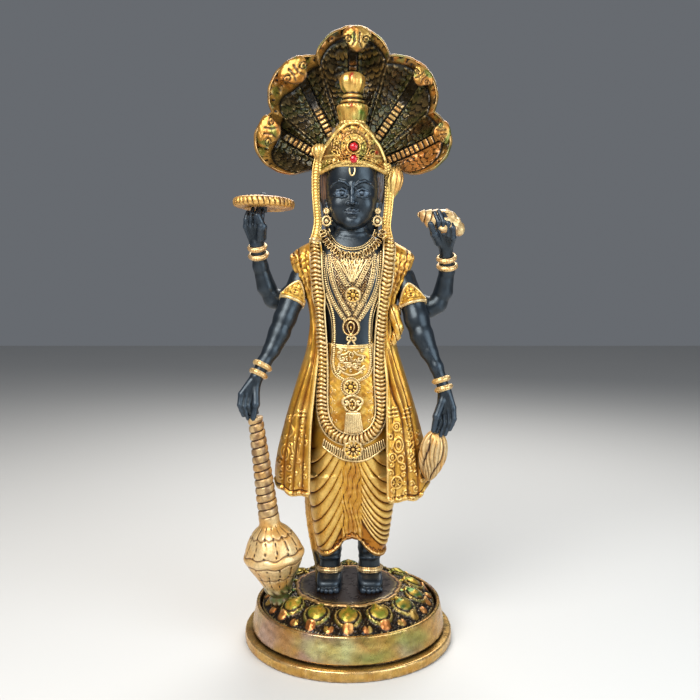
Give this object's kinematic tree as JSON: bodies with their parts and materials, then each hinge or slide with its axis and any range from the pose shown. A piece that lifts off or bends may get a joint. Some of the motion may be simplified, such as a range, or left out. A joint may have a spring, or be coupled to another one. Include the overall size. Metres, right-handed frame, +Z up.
{
  "type": "vishnu figure",
  "caption": "Standing four-armed deity in a long open robe and tall crown under a fanned serpent hood, holding mace, discus, conch and lotus, on a lotus seat in a round stepped plinth.",
  "frame": {"origin": "middle of the plinth's round underside, on the surface that it stands on", "axes": "+Z up through the crown, -Y out of the figure's front, +X to the viewer's right"},
  "size_m": [0.1137, 0.1062, 0.3048],
  "materials": {
    "plinth_brass": "turned and brushed brass with a green and pinkish patina, dark in the groove under the drum",
    "antique_gold": "cast brass, bright on the raised work and brown in the recesses",
    "pale_brass": "paler satin brass of the mace and the conch, dark in the grooves",
    "black_lacquer": "glossy black lacquer over the cast metal",
    "hood_patina": "dark brown and olive patina with gold, orange and green on the raised rims and scales",
    "lotus_patina": "black and brown patina with green-gold bosses and copper buds",
    "red_enamel": "glossy red enamel in the crown's settings"
  },
  "bodies": {
    "root": {"plinth": "plinth_brass", "figure": "antique_gold"}
  },
  "joints": []
}
